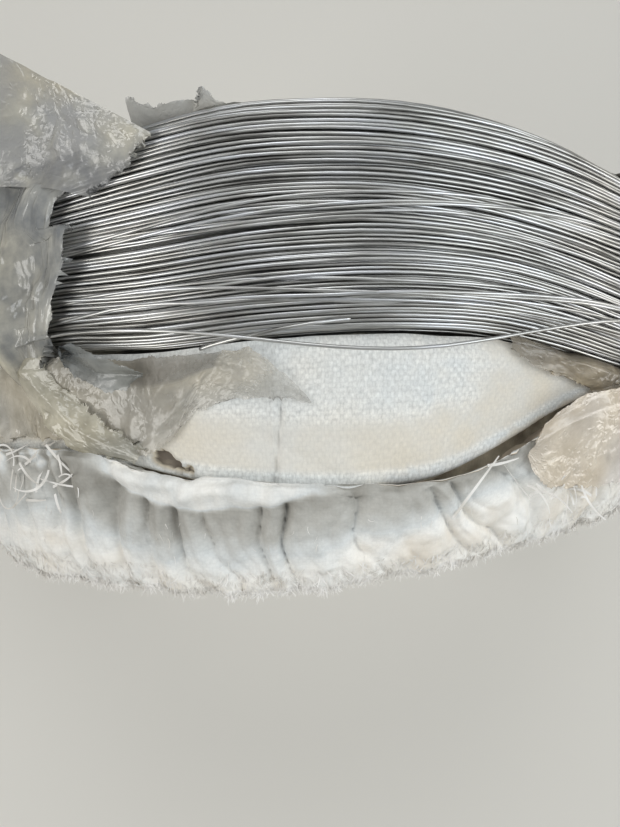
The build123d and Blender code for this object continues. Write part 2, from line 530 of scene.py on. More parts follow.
def sheet_mesh(name, sheets, **shades):
    """A mesh of grids bent to these points, one array of rows and columns each, with the cut sheets as UV."""
    bm = bmesh.new()
    for points, _ in sheets:
        bmesh.ops.create_grid(bm, x_segments=points.shape[1] - 1, y_segments=points.shape[0] - 1, size=1)
    mesh = finished(bm, name)
    grid = vertex_places(mesh)
    flat, start = np.empty((len(grid), 2)), 0
    values = {label: np.empty(len(grid)) for label in shades}
    for number, (points, cut) in enumerate(sheets):
        rows, columns = points.shape[:2]
        part = slice(start, start + rows * columns)
        column, row = (
            np.round((grid[part, i] + 1) / 2 * (n - 1)).astype(int) for i, n in ((0, columns), (1, rows))
        )
        grid[part], flat[part] = points[row, column], cut[row, column]
        for label in shades:
            values[label][part] = shades[label][number][row, column]
        start = part.stop
    mesh.vertices.foreach_set("co", grid.ravel())
    add_shades(mesh, **values)
    corners = np.empty(len(mesh.loops), int)
    mesh.loops.foreach_get("vertex_index", corners)
    mesh.uv_layers.new(name="cut").data.foreach_set("uv", flat[corners].ravel())
    bm = bmesh.new()
    bm.from_mesh(mesh)
    bmesh.ops.recalc_face_normals(bm, faces=bm.faces)
    bm.to_mesh(mesh)
    bm.free()
    return mesh


def creases(x, y, periods, count, length, width, height, lean, rng):
    """The height at each place of soft creases laid at random, some raised and some sunk."""
    total = np.zeros(np.broadcast(x, y).shape)
    for _ in range(count):
        aside, ahead = (
            (value - rng.uniform(0, period) + period / 2) % period - period / 2
            for value, period in zip((x, y), periods)
        )
        turn = lean + rng.normal(0, 0.3)
        run = aside * cos(turn) + ahead * sin(turn)
        off = ahead * cos(turn) - aside * sin(turn) + rng.normal(0, 0.15) * run**2 / length
        total += (
            rng.normal(0, height)
            * np.exp(-((run / length) ** 2) - (off / width / rng.uniform(0.6, 1.6)) ** 2)
        )
    return total


def rumpled(points, size, octaves, seed, basis="PERLIN_ORIGINAL", hard=True):
    """Noise from 0 upwards at each point of a sheet, sharp where it is hard, with details of this size."""
    spots = (points - COIL_MIDDLE).reshape(-1, 3) / size + 17.3 * seed
    values = [noise.turbulence(spot, octaves, hard, noise_basis=basis) for spot in map(Vector, spots)]
    return np.array(values).reshape(points.shape[:-1])


def crumpled(flat, size, count, lean, spread, rng):
    """The height at each place, about -1 to 1, of sharp straight folds that cross on a crumpled sheet."""
    x, y = flat[..., 0], flat[..., 1]
    total = np.zeros(x.shape)
    for _ in range(count):
        turn, pitch = lean + rng.uniform(-spread, spread), size * rng.uniform(0.5, 1.7)
        ahead, aside = x * cos(turn) + y * sin(turn), y * cos(turn) - x * sin(turn)
        bend = (
            0.5 * np.sin(aside / (2.3 * size) + rng.uniform(0, tau))
            + 0.2 * np.sin(aside / size + rng.uniform(0, tau))
        )
        total += pitch / size * (np.abs((ahead / pitch + bend + rng.uniform(0, 2)) % 2 - 1) - 0.5)
    return 2 * total / sqrt(count)


def section_line(spare, bevel):
    """The outline of the coil's section with this much to spare, from the rim's middle round by the front."""
    half, low, high = COIL_WIDTH / 2 + spare, COIL_EYE_RADIUS - spare, COIL_RADIUS + spare
    side = [(half, low), (half, high - bevel), (half - bevel, high)]
    corners = [(0, high)] + [(-across, out) for across, out in reversed(side)] + side + [(0, high)]
    line = resample(corners, 401)[:-1]
    # Its corners are rounded off over some eight of its points
    reach = np.arange(-8, 9)
    weights = np.exp(-((reach / 3.5) ** 2))
    line = sum(weight * np.roll(line, shift, axis=0) for weight, shift in zip(weights / weights.sum(), reach))
    return np.vstack([line, line[:1]])


def section_places(line, distance):
    """Places across the coil and out from its axis, this far along its section's outline."""
    length = lengths_along(line)
    return (np.interp(distance, length, part) for part in line.T)


def shoulder(bevel):
    """How far it is along the section's outline from the middle of the rim to the end of its bevel."""
    return COIL_WIDTH / 2 - bevel + sqrt(2) * bevel


def ragged(count, amount, rng):
    """Uneven offsets for a torn or cut edge, coarse and fine."""
    coarse = np.interp(
        np.arange(count), np.linspace(0, count - 1, count // 5 + 2), rng.normal(0, 1, count // 5 + 2)
    )
    return amount * (0.7 * coarse + 0.35 * rng.normal(0, 1, count))


def woven_tape(name, white, stain, shown):
    """Plain weave of flat white polypropylene tape: a fine basket pattern, each tape a little shiny.

    How far the pattern is shown says how flat and clean the cloth lies, and how strongly shade is painted
    into the gaps of the weave and sheen onto its crossings.
    """
    material, tree = new_material(name)
    tape = 1.6 * MM
    cut = add_node(tree, "UVMap", uv_map="cut")
    count = add_node(
        tree, "VectorMath", {0: cut.outputs["UV"], 1: (1 / tape, 1 / tape, 0)}, operation="MULTIPLY"
    )
    # The tapes wander a little, so their lines aren't ruled
    wander = add_node(tree, "TexNoise", {"Vector": cut.outputs["UV"], "Scale": 60.0, "Detail": 1.0})
    moved = add_node(
        tree,
        "VectorMath",
        {0: wander.outputs["Color"], 1: (1.3, 1.3, 0.0), 2: count.outputs["Vector"]},
        operation="MULTIPLY_ADD",
    )
    cell = add_node(tree, "VectorMath", {0: moved.outputs["Vector"]}, operation="FLOOR")
    within = add_node(
        tree, "VectorMath", {0: moved.outputs["Vector"], 1: cell.outputs["Vector"]}, operation="SUBTRACT"
    )
    cell_xy = add_node(tree, "SeparateXYZ", {"Vector": cell.outputs["Vector"]})
    within_xy = add_node(tree, "SeparateXYZ", {"Vector": within.outputs["Vector"]})
    both = add_node(tree, "Math", {0: cell_xy.outputs["X"], 1: cell_xy.outputs["Y"]}, operation="ADD")
    halved = add_node(tree, "Math", {0: both.outputs["Value"], 1: 2.0}, operation="FLOORED_MODULO")
    crowns = []
    for axis in "XY":
        folded = add_node(tree, "Math", {0: within_xy.outputs[axis], 1: pi}, operation="MULTIPLY")
        rounded = add_node(tree, "Math", {0: folded.outputs["Value"]}, operation="SINE")
        crowns.append(add_node(tree, "Math", {0: rounded.outputs["Value"], 1: 0.4}, operation="POWER"))
    ups = []
    for one, other in (crowns, reversed(crowns)):
        eased_over = add_node(
            tree, "Math", {0: other.outputs["Value"], 1: 0.45, 2: 0.55}, operation="MULTIPLY_ADD"
        )
        ups.append(
            add_node(
                tree, "Math", {0: one.outputs["Value"], 1: eased_over.outputs["Value"]}, operation="MULTIPLY"
            )
        )
    weave = add_node(
        tree,
        "Mix",
        {"Factor": halved.outputs["Value"], "A": ups[0].outputs["Value"], "B": ups[1].outputs["Value"]},
    )
    # The tapes differ in white from place to place, and dirt lies in broad blotches and in the stains it is
    # given; where that attribute falls below zero, shade is painted in greys
    tone = add_node(
        tree, "TexNoise", {"Vector": moved.outputs["Vector"], "Scale": 0.9, "Detail": 2.0, "Roughness": 0.7}
    )
    place_of = add_node(tree, "TexCoord")
    blotch = add_node(
        tree,
        "TexNoise",
        {"Vector": place_of.outputs["Object"], "Scale": 28.0, "Detail": 5.0, "Roughness": 0.6},
    )
    stained = add_node(tree, "Attribute", attribute_name="stain")
    soiled = add_node(tree, "Math", {0: blotch.outputs["Fac"], 1: 1.6, 2: -0.75}, operation="MULTIPLY_ADD")
    dirt_and_shade = add_node(tree, "Math", {0: stained.outputs["Fac"], 1: soiled.outputs["Value"]}, operation="ADD")
    spread = add_node(tree, "MapRange", {"Value": dirt_and_shade.outputs["Value"], "From Min": -1.8, "From Max": 2.2})
    # From low to high: two greys of painted shade, the cloth's pale grey and white, its stain, and a dark
    # brown that is both dirt and shade painted into gaps
    stops = (
        (0, "#8f8b82"), (0.2, "#bfbdb6"), (0.375, "#dbdddb"), (0.535, white), (0.8, stain), (1, "#776d61")
    )
    colour = add_node(tree, "ValToRGB", {"Fac": spread.outputs["Result"]}, stops)
    # Where dirt fills the weave it shows less, and so it does under the dark brown shade painted into gaps
    clear = add_node(
        tree,
        "MapRange",
        {"Value": stained.outputs["Fac"], "From Min": 0.1, "From Max": 0.5, "To Min": 1.0, "To Max": 0.35},
    )
    # The weave is painted into the colour: darker in the gaps between the tapes, as shade, and lighter on
    # every second crossing, as sheen, with each tape's own tone
    varied = add_node(tree, "Math", {0: tone.outputs["Fac"], 1: 2.4, 2: -1.2}, operation="MULTIPLY_ADD")
    crossed = add_node(
        tree,
        "Math",
        {0: halved.outputs["Value"], 1: 0.22, 2: varied.outputs["Value"]},
        operation="MULTIPLY_ADD",
    )
    raised_by = add_node(
        tree,
        "Math",
        {0: weave.outputs["Result"], 1: 0.45, 2: crossed.outputs["Value"]},
        operation="MULTIPLY_ADD",
    )
    contrast = add_node(tree, "Math", {0: clear.outputs["Result"], 1: shown}, operation="MULTIPLY")
    lit = add_node(
        tree,
        "Math",
        {0: raised_by.outputs["Value"], 1: contrast.outputs["Value"], 2: 0.955 - 0.37 * shown},
        operation="MULTIPLY_ADD",
    )
    mixed = add_node(
        tree, "VectorMath", {0: colour.outputs["Color"], "Scale": lit.outputs["Value"]}, operation="SCALE"
    )
    raised = add_node(
        tree, "Bump", {"Height": weave.outputs["Result"], "Strength": 0.35, "Distance": 0.2 * MM}
    )
    shader = add_node(
        tree,
        "BsdfPrincipled",
        {
            "Base Color": mixed.outputs["Vector"],
            "Normal": raised.outputs["Normal"],
            "Roughness": 0.55,
            "Specular IOR Level": 0.35,
        },
    )
    add_node(tree, "OutputMaterial", {"Surface": shader.outputs["BSDF"]})
    return material


def loose_tape():
    """Frayed polypropylene tape and fibre: plain milky white, a little shiny along its length."""
    material, tree = new_material("frayed polypropylene tape")
    place_of = add_node(tree, "TexCoord")
    blotch = add_node(tree, "TexNoise", {"Vector": place_of.outputs["Object"], "Scale": 70.0, "Detail": 3.0})
    stops = ((0.35, "#d2cdc4"), (0.62, "#f0ede8"))
    colour = add_node(tree, "ValToRGB", {"Fac": blotch.outputs["Fac"]}, stops)
    shader = add_node(tree, "BsdfPrincipled", {"Base Color": colour.outputs["Color"], "Roughness": 0.4})
    add_node(tree, "OutputMaterial", {"Surface": shader.outputs["BSDF"]})
    return material


def clear_film(name, pale, dull, stretch, least):
    """Crumpled polythene film: milky and see-through, with sharp shiny ridges painted paler as highlights,
    and hollows between them painted duller as shade.

    Where the stretch is below 1 the ridges are drawn out along the sheet. The least is how much of them is
    left where the film lies smooth.
    """
    material, tree = new_material(name)
    place_of = add_node(tree, "TexCoord")
    cut = add_node(tree, "UVMap", uv_map="cut")
    drawn = add_node(tree, "VectorMath", {0: cut.outputs["UV"], 1: (stretch, 1.0, 1.0)}, operation="MULTIPLY")
    # Ridges some 8 mm and 2.5 mm apart, and places where the film lies smooth
    crumpled_by = add_node(
        tree, "TexNoise", {"Vector": drawn.outputs["Vector"], "Scale": 26.0, "Detail": 2.0}
    )
    broken = add_node(
        tree,
        "MapRange",
        {"Value": crumpled_by.outputs["Fac"], "From Min": 0.4, "From Max": 0.62, "To Min": least},
    )
    ridges = []
    for scale, detail in ((120.0, 1.5), (390.0, 1.0)):
        ridge = add_node(
            tree,
            "TexNoise",
            {
                "Vector": drawn.outputs["Vector"],
                "Scale": scale,
                "Detail": detail,
                "Roughness": 0.5,
                "Distortion": 0.6,
            },
            noise_type="RIDGED_MULTIFRACTAL",
            normalize=True,
        )
        ridges.append(ridge.outputs["Fac"])
    fine = add_node(tree, "Math", {0: ridges[1], 1: 0.5, 2: ridges[0]}, operation="MULTIPLY_ADD")
    folded = add_node(
        tree, "Math", {0: fine.outputs["Value"], 1: broken.outputs["Result"]}, operation="MULTIPLY"
    )
    raised = add_node(
        tree, "Bump", {"Height": folded.outputs["Value"], "Strength": 1.0, "Distance": 2.0 * MM}
    )
    haze = add_node(
        tree,
        "TexNoise",
        {"Vector": place_of.outputs["Object"], "Scale": 40.0, "Detail": 6.0, "Roughness": 0.6},
    )
    # Light is painted into the colour: the ridges are paler and whiter, as painted highlights, and the
    # hollows duller, as painted shade
    lit = add_node(
        tree, "Math", {0: folded.outputs["Value"], 1: 0.4, 2: haze.outputs["Fac"]}, operation="MULTIPLY_ADD"
    )
    stops = ((0.42, dull), (0.72, pale), (0.95, "#dfdcd1"))
    colour = add_node(tree, "ValToRGB", {"Fac": lit.outputs["Value"]}, stops)
    # The film is bluish in some places and has yellowed in others
    aged = add_node(tree, "TexNoise", {"Vector": place_of.outputs["Object"], "Scale": 17.0, "Detail": 2.0})
    yellowed = add_node(tree, "MapRange", {"Value": aged.outputs["Fac"], "From Min": 0.4, "From Max": 0.6})
    tint = add_node(
        tree,
        "Mix",
        {"Factor": yellowed.outputs["Result"], "A": linear("#f4f6fb"), "B": linear("#fffaf0")},
        data_type="RGBA",
    )
    tinted = add_node(
        tree,
        "Mix",
        {"Factor": 1.0, "A": colour.outputs["Color"], "B": tint.outputs["Result"]},
        data_type="RGBA",
        blend_type="MULTIPLY",
    )
    # Where soil and painted shade lie it is darker, towards a dark brown, and rougher, as the dust takes its
    # shine away
    soiled = add_node(tree, "Attribute", attribute_name="soiled")
    dusty_and_shaded = add_node(
        tree,
        "Mix",
        {"Factor": soiled.outputs["Fac"], "A": tinted.outputs["Result"], "B": linear("#5f574a")},
        data_type="RGBA",
    )
    rough = add_node(
        tree, "MapRange", {"Value": soiled.outputs["Fac"], "From Max": 0.5, "To Min": 0.14, "To Max": 0.5}
    )
    clouded = add_node(tree, "Attribute", attribute_name="clouded")
    density = add_node(
        tree,
        "MapRange",
        {"Value": lit.outputs["Value"], "From Min": 0.35, "From Max": 0.95, "To Min": -0.14, "To Max": 0.3},
    )
    solid = add_node(
        tree,
        "Math",
        {0: clouded.outputs["Fac"], 1: density.outputs["Result"]},
        operation="ADD",
        use_clamp=True,
    )
    shader = add_node(
        tree,
        "BsdfPrincipled",
        {
            "Base Color": dusty_and_shaded.outputs["Result"],
            "Alpha": solid.outputs["Value"],
            "Normal": raised.outputs["Normal"],
            "Roughness": rough.outputs["Result"],
            "IOR": 1.5,
            "Specular IOR Level": 0.9,
        },
    )
    add_node(tree, "OutputMaterial", {"Surface": shader.outputs["BSDF"]})
    return material


def windings(size, bevel, rng):
    """The strip of cloth wound round the coil, winding by winding, each overlapping the one before.

    Over the open rim the strip is cut, and each winding there runs from one shoulder round by the eye to the
    other.
    """
    line = section_line(CLOTH_OFF, bevel)
    length = np.linalg.norm(np.diff(line, axis=0), axis=1).sum()
    cut_at = shoulder(bevel) + 12 * MM
    step = tau / size.windings
    # The first winding starts near the bottom of the ring
    start = radians(6) - pi
    middles = start + step * (np.arange(size.windings) + 0.5)
    left, right = (radians(edge) for edge in CLOTH_OPENING)
    open_rim = (left - radians(3) < middles) & (middles < right)
    flat_length, sheets = 0, []
    for number, middle in enumerate(middles):
        # Only the side of a winding that lies in the window is cut
        starts_cut, ends_cut = (
            open_rim[number] and open_rim[number + way] for way in (-1, 1 - size.windings)
        )
        columns = 24
        wide = np.linspace(-0.5, 0.5, columns) * size.strip
        first = cut_at + ragged(columns, 1.3 * MM, rng) if starts_cut else 0
        last = length - cut_at + ragged(columns, 1.3 * MM, rng) if ends_cut else length
        rows = 66 if starts_cut and ends_cut else 90
        distance = first + np.linspace(0, 1, rows)[:, None] * (last - first)
        across, out = section_places(line, distance)
        angle = middle + step * (distance / length - 0.5) + wide / out
        # Beside the window no corner of a winding juts out over the rim
        on_rim = smoothstep((cut_at - np.minimum(distance, length - distance)) / (20 * MM) + 1)
        on_rim = np.where(np.where(distance < length / 2, starts_cut, ends_cut), 0, on_rim)
        edge, way = (left, 1) if middle < (left + right) / 2 else (right, -1)
        far, near = (way * angle).min(axis=1, keepdims=True), (way * angle).max(axis=1, keepdims=True)
        kept = np.minimum(1, (way * edge - far) / (near - far))
        angle = way * (far + (way * angle - far) * (1 + (kept - 1) * on_rim))
        under = smoothstep((size.strip / 2 - step * out - wide) / (4 * MM) + 0.5)
        angle, across, out, distance = np.broadcast_arrays(angle, across, out, distance)
        points = place(angle, pressed(angle, across), out)
        # The creases run on from each winding to the next, so each draws them anew from one seed
        creased, around = np.random.default_rng(11), (angle % tau) * COIL_RADIUS
        tight = smoothstep((COIL_RADIUS - 20 * MM - out) / (30 * MM))
        folds = 0
        for count, long, broad, high, lean, share in (
            (220, 38, 2.4, 0.45, pi / 2, 1),
            (130, 26, 1.8, 0.4, pi / 5, 1),
            (130, 26, 1.8, 0.4, -pi / 5, 1),
            (260, 30, 1.6, 0.75, pi / 2, tight),
        ):
            periods, measures = (tau * COIL_RADIUS, length), (long * MM, broad * MM, high * MM)
            folds = folds + creases(around, distance, periods, count, *measures, lean, creased) * share
        height = (
            np.maximum(1.7 * folds, -1.2 * MM) + size.lap * under + 1.1 * MM * rumpled(points, 26 * MM, 3, 3)
        )
        flat = np.stack(np.broadcast_arrays(wide[None, :] + 0 * distance, flat_length + distance), axis=-1)
        sheets.append((points + height[..., None] * outward(points), flat))
        flat_length += length
    return sheets


def flap_sheet(angle, across):
    """How far out the smooth part of the flap lies."""
    return MM * np.interp(across / MM, *zip(*SHEET_PROFILE))


def flap_band(angle, across):
    """How far out the frayed band lies, a thick roll that falls away to its edge."""
    fold, edge = eased(BAND_FOLD, angle), eased(BAND_EDGE, angle)
    # It lies on a straight slope, which is this high at this place across
    high, at, fall = 213 * MM, -62.8 * MM, 0.374
    slope = high + (across - at) * fall
    share = np.clip((fold - across) / (fold - edge), 0, 1)
    return slope + MM * np.interp(share, (0, 0.1, 0.45, 0.8, 1), (3.0, 6.0, 5.0, 2.2, -2.0))


def flap_top(angle, across):
    """How far out the upper side of the flap lies, on its smooth sheet or on its band."""
    on_band = smoothstep((eased(BAND_FOLD, angle) - across) / (6 * MM) + 0.5)
    return (1 - on_band) * flap_sheet(angle, across) + on_band * flap_band(angle, across)


def rim_top(angle, across):
    """How far out the rim of the coil lies."""
    return COIL_RADIUS + 0 * across


def scrap(lines, rows, columns, base, tear, rng):
    """A torn sheet laid through lines of degrees, millimetres across, and millimetres off what it lies on."""
    scale = np.array((pi / 180 * COIL_RADIUS, MM, MM))
    laid = np.array([resample(np.array(line) * scale, columns) for line in lines])
    share = np.linspace(0, 1, rows) * (len(lines) - 1)
    low = np.minimum(share.astype(int), len(lines) - 2)
    part = (share - low)[:, None, None]
    flat = laid[low] * (1 - part) + laid[low + 1] * part
    for row, amount in ((0, 0.5), (-1, 1.0)):
        flat[row, :, :2] += np.stack([ragged(columns, tear * amount, rng) for _ in range(2)], axis=1)
    angle, across, lift = flat[..., 0] / COIL_RADIUS, flat[..., 1], flat[..., 2]
    return place(angle, across, base(angle, across) + lift), lift


class WireSettings(bpy.types.PropertyGroup):
    """Sizes of the wire and of the turns that show."""

    wire: FloatProperty(name="Wire", description="Diameter of the wire", default=WIRE * MM, unit="LENGTH")
    pitch: FloatProperty(
        name="Pitch", description="From one turn to the next as laid", default=2.02 * MM, unit="LENGTH"
    )
    bevel: FloatProperty(
        name="Bevel", description="How far the coil's edges are rounded off", default=12 * MM, unit="LENGTH"
    )
    depth: FloatProperty(
        name="Depth", description="How deep separate turns are made", default=8 * MM, unit="LENGTH"
    )
    side_depth: FloatProperty(
        name="Side Depth",
        description="How far down the ends separate turns are made",
        default=26 * MM,
        unit="LENGTH",
    )
    stations: IntProperty(name="Stations", description="Places round a turn", default=120)


class ClothSettings(bpy.types.PropertyGroup):
    """The strip of woven cloth."""

    strip: FloatProperty(
        name="Strip",
        description="Width of the strip that the coil is wound with",
        default=101 * MM,
        unit="LENGTH",
    )
    windings: IntProperty(
        name="Windings", description="How many times the strip goes round the section", default=16
    )
    lap: FloatProperty(
        name="Lap",
        description="How far a winding stands up where it lies on the last",
        default=0.8 * MM,
        unit="LENGTH",
    )


class FilmSettings(bpy.types.PropertyGroup):
    """The clear film."""

    crumple: FloatProperty(
        name="Crumple",
        description="How far the loose film is crumpled off its lie",
        default=3.2 * MM,
        unit="LENGTH",
    )


class StageSettings(bpy.types.PropertyGroup):
    """Colours of the stage."""

    floor: FloatVectorProperty(
        name="Floor", description="Colour of the floor", subtype="COLOR", size=4, default=linear("#d9d5cd")
    )
    sky: FloatVectorProperty(
        name="Sky",
        description="Colour of the light all round",
        subtype="COLOR",
        size=4,
        default=linear("#d5d9dc"),
    )


class COIL_OT_turns(bpy.types.Operator):
    """Lay and settle the outer turns of the coil, and put a ridged core under them"""

    bl_idname = "coil.turns"
    bl_label = "Turns"

    def execute(self, context):
        size = context.scene.wire_coil
        rng = np.random.default_rng(4)
        angle = np.arange(size.stations) / size.stations * tau
        across, out, deep = lay_turns(size, angle, rng)
        hand_across, hand_out = hand_laid(size, angle)
        # The listed turns are held more firmly to where they were laid
        pull = np.r_[np.full(len(across), 0.03), np.full(len(hand_across), 0.35)]
        across, out = np.vstack([across, hand_across]), np.vstack([out, hand_out])
        settle(across, out, size.wire, pull, passes=80)
        # Only over the open rim may turns stand out of the coil's outline, and the loose turn stays as laid
        turn = top_degrees(angle)
        first, last, soft = -36, 50, 6
        bare = smoothstep((turn - first) / soft) * smoothstep((last - turn) / soft)
        proud = size.wire / 2 - (0.5 * size.wire + 0.4 * MM) * bare - section_depth(across, out, size.bevel)
        proud[-1] = 0
        proud = np.maximum(proud, 0)
        across, out = across - np.sign(across) * proud, out - proud
        across = pressed(angle, across)
        steel = drawn_steel()
        # The listed turns and the outermost ones are seen closest, so they have more sides
        order = np.r_[np.arange(len(deep), len(across)), np.argsort(deep)]
        for number, rows in enumerate(np.array_split(order, 4)):
            name = f"turns_{number + 1}"
            sides, nodes = (6, ()) if number else (8, ["wire_coil"])
            mesh = turns_mesh(name, across[rows], out[rows], size.wire, sides)
            new_piece(name, mesh, steel, nodes)
        new_piece("core", core_mesh(size), steel)
        new_piece("cut_end", cut_end_mesh(size.wire), steel)
        return {"FINISHED"}


class COIL_OT_film(bpy.types.Operator):
    """Line the wrapping with clear film, and lay the torn film at its edges"""

    bl_idname = "coil.film"
    bl_label = "Film"

    # Each film: its pale colour, painted on the ridges as light, and its dull colour, painted in the hollows
    # as shade, how far its ridges are drawn out, how much of them is left where it lies smooth, and how deep
    # its fine folds are
    FILMS = {
        "milky film": ("#c3beae", "#959491", 1.0, 0.15, 0.35),
        "folded film": ("#bdb9ac", "#868785", 0.22, 0.55, 0.85),
        "yellowed film": ("#d0ccbd", "#a09c8d", 0.6, 0.5, 0.85),
        "dusty film": ("#cdc7ba", "#aba597", 1.0, 0.25, 0.35),
        "grey film": ("#9ea3a4", "#6c7274", 0.5, 0.4, 0.85),
        "brown film": ("#b9ae9a", "#7a7060", 0.6, 0.3, 0.35),
        "sandy film": ("#e2d9cc", "#d3c8b9", 1.0, 0.1, 0.35),
        "thin film": ("#e6e4dc", "#cbc8be", 1.0, 0.15, 0.35),
    }

    # Each scrap of film: the lines that it is laid through, its rows and columns, what it lies on, the film,
    # how clouded it is from its first column to its last, how far it is crumpled, and which way its folds run
    SCRAPS = {
        "film_flap": (
            (
                ((-30, 66, 54), (-33, 55, 36), (-36, 42, 22), (-38.5, 27, 13)),
                ((-25.5, 59, 20), (-26.5, 48, 10), (-28, 36, 8), (-30.5, 21, 9)),
                ((-15.8, 34.2, 4), (-17.5, 28, 4.5), (-18.9, 21.9, 3.5), (-21.5, 16, 3), (-23.8, 12.2, 3)),
            ),
            110, 90, rim_top, "milky film", (0.9, 0.92), 0.8, (0, pi),
        ),
        "film_side": (
            (
                ((-42, 34, 7), (-45, 12, 8), (-45, -18, 8), (-44, -40, 6), (-43.5, -54, -7), (-43, -62, -13)),
                (
                    (-34, 26, 6), (-35.5, 10, 9), (-35, -12, 10), (-35.5, -42, 6), (-35.5, -54, -6),
                    (-35.5, -62, -13),
                ),
                (
                    (-26.8, 18, 3), (-27.9, 15.5, 3.5), (-28.7, 6.2, 4), (-28.8, -0.2, 4), (-25.6, -2.9, 7),
                    (-25.5, -8.8, 7), (-25.8, -16.2, 5), (-27.8, -31.7, 4), (-29, -44, 2), (-31, -53, -6),
                    (-32.5, -60, -12),
                ),
            ),
            100, 140, rim_top, "folded film", (0.88, 0.86), 1.1, (pi / 2, 0.35),
        ),
        "film_sheet": (
            (
                (
                    (-45, -50, 9), (-37.5, -51, 8), (-32, -52, 6), (-27.8, -54, 4), (-21.4, -57.6, 2),
                    (-13.6, -58.2, 2.5), (-6.5, -56.9, 2), (-4.6, -61, 2), (-2, -69.8, 2), (0.5, -78.8, 1),
                ),
                (
                    (-50, -82, 3), (-40, -84, 4), (-33.9, -86, 3), (-27.6, -88.6, 3), (-20.5, -97, 2.5),
                    (-16.3, -90.3, 2.5), (-13.7, -80.7, 2), (-7.4, -76.2, 2), (-2, -77, 1.5), (0.5, -79.6, 1),
                ),
            ),
            60, 220, flap_top, "dusty film", (1.25, 0.35), 0.55, (0.4, 1.4),
        ),
        "film_twist": (
            (
                (
                    (-36.5, -50, 9), (-38.1, -57.6, 7), (-34.9, -75, 5), (-31.1, -89.7, 5), (-26.6, -96.6, 4),
                    (-22.2, -100.3, 3),
                ),
                (
                    (-34, -50, 11), (-35.2, -57.4, 11), (-31.8, -73.4, 10), (-28.2, -86.3, 9),
                    (-24.5, -93.4, 7), (-21.2, -98, 5),
                ),
                (
                    (-31.5, -50, 9), (-32.2, -57.1, 7), (-28.8, -71.8, 6), (-25.3, -82.9, 5),
                    (-22.3, -90.1, 4), (-20.2, -95.7, 3),
                ),
            ),
            40, 130, flap_top, "yellowed film", (0.85, 0.8), 0.8, (pi / 2, 0.5),
        ),
        "film_leaf": (
            (
                ((-29.5, -48, 12), (-27.1, -50, 13), (-24.2, -54.3, 13), (-18.4, -66.2, 10)),
                ((-30.1, -49, 6), (-27.5, -56, 7), (-24, -63, 8), (-18.5, -66.4, 9)),
                (
                    (-30.1, -50, 8), (-27.5, -62.4, 10), (-23.2, -71.7, 11), (-20.6, -71, 11),
                    (-18.7, -66.5, 10),
                ),
            ),
            30, 60, flap_sheet, "grey film", (0.85, 0.72), 0.7, (1.2, 0.6),
        ),
        "film_back": (
            (
                ((-22.5, 48, -27), (-17, 51, -27), (-12, 53.9, -27), (-8, 55.7, -27)),
                (
                    (-19.6, 55, 0), (-18.6, 55, 1.7), (-18.1, 55, -4), (-17.4, 55, -9.7), (-15.8, 55, -8),
                    (-14.5, 55, -9), (-13.2, 55, -9.7), (-12.5, 55, -13.9), (-11.3, 55, -4), (-10.6, 55, 0.1),
                    (-10.3, 55, -7), (-10, 55, -12.6), (-8.2, 55.5, -19),
                ),
            ),
            30, 110, rim_top, "thin film", (0.8, 0.8), 0.4, (0, pi),
        ),
        "film_right": (
            (
                ((24.4, -46.5, -1), (33.8, -49.5, -3), (41, -50, -3), (50, -50, -3)),
                ((24.7, -50.5, 3), (28.5, -54.5, 5), (34, -58.5, 6), (40.5, -60.5, 6), (50, -61, 4)),
                (
                    (25.1, -55, 2), (27.3, -60, 3), (30.8, -64, 3), (33.9, -65.7, 3), (36.6, -67, 3),
                    (40, -69, 3), (42, -72.5, 4), (50, -72, 4),
                ),
            ),
            60, 120, flap_top, "brown film", (0.62, 0.9), 0.8, (1.3, 0.5),
        ),
        "film_patch": (
            (
                (
                    (27.9, -95.5, 3.5), (29.4, -88.2, 3.5), (31, -82.5, 3.5), (33.1, -77, 4), (35.3, -73, 4),
                    (38.9, -70, 4.5), (43.2, -66.8, 5), (56, -61, 5),
                ),
                (
                    (27.2, -101.5, 3), (28.4, -107, 3), (30.2, -110.8, 3), (33.5, -114.3, 3), (40, -112.5, 4),
                    (49.2, -108.5, 6), (56, -106, 6),
                ),
            ),
            50, 90, flap_band, "sandy film", (0.86, 0.92), 0.18, (0, pi),
        ),
    }

    def dust_and_shade(self, film, down, right):
        """How much soil and painted shade a film has, by how far down and to the right on it. It is most
        under the wires.
        """
        # Shadow painted under the wires on the sheet of film, shade painted on the brown film near the wires
        # and on the milky film towards its right, and some plain dust besides
        under = (
            smoothstep((0.34 - down) / 0.08)
            * smoothstep((right - 0.3) / 0.3)
            * smoothstep((0.76 - right) / 0.03)
        )
        shaded = smoothstep((0.55 - down) / 0.4) * smoothstep(right / 0.5)
        dusty_and_shaded = {
            "dusty film": 0.06 + 0.75 * under,
            "milky film": 0.22 * right,
            "brown film": 0.1 + 0.9 * shaded,
            "grey film": 0.15,
        }
        return dusty_and_shaded.get(film, 0)

    def lining(self, size, rng):
        """The film that lines the wrapping, all round and then where it is torn open, and its girth."""
        line = section_line(FILM_OFF, size.bevel)
        girth = np.linalg.norm(np.diff(line, axis=0), axis=1).sum()
        left, right = FILM_OPENING
        sheets = []
        for first, last, columns, start in (
            (right, left + 360, 150, 0),
            (left, right, 60, shoulder(size.bevel) + 9 * MM),
        ):
            torn = ragged(columns, 1.2 * MM, rng) if start else 0
            distance = start + torn + np.linspace(0, 1, 80)[:, None] * (girth - 2 * start - 2 * torn)
            across, out = section_places(line, distance)
            angle = np.radians(np.linspace(first, last, columns))[None, :]
            points = place(angle, pressed(angle, across), out)
            points += (0.7 * MM * rumpled(points, 9 * MM, 2, 5))[..., None] * outward(points)
            sheets.append((points, cut_size(points)))
        return sheets, girth

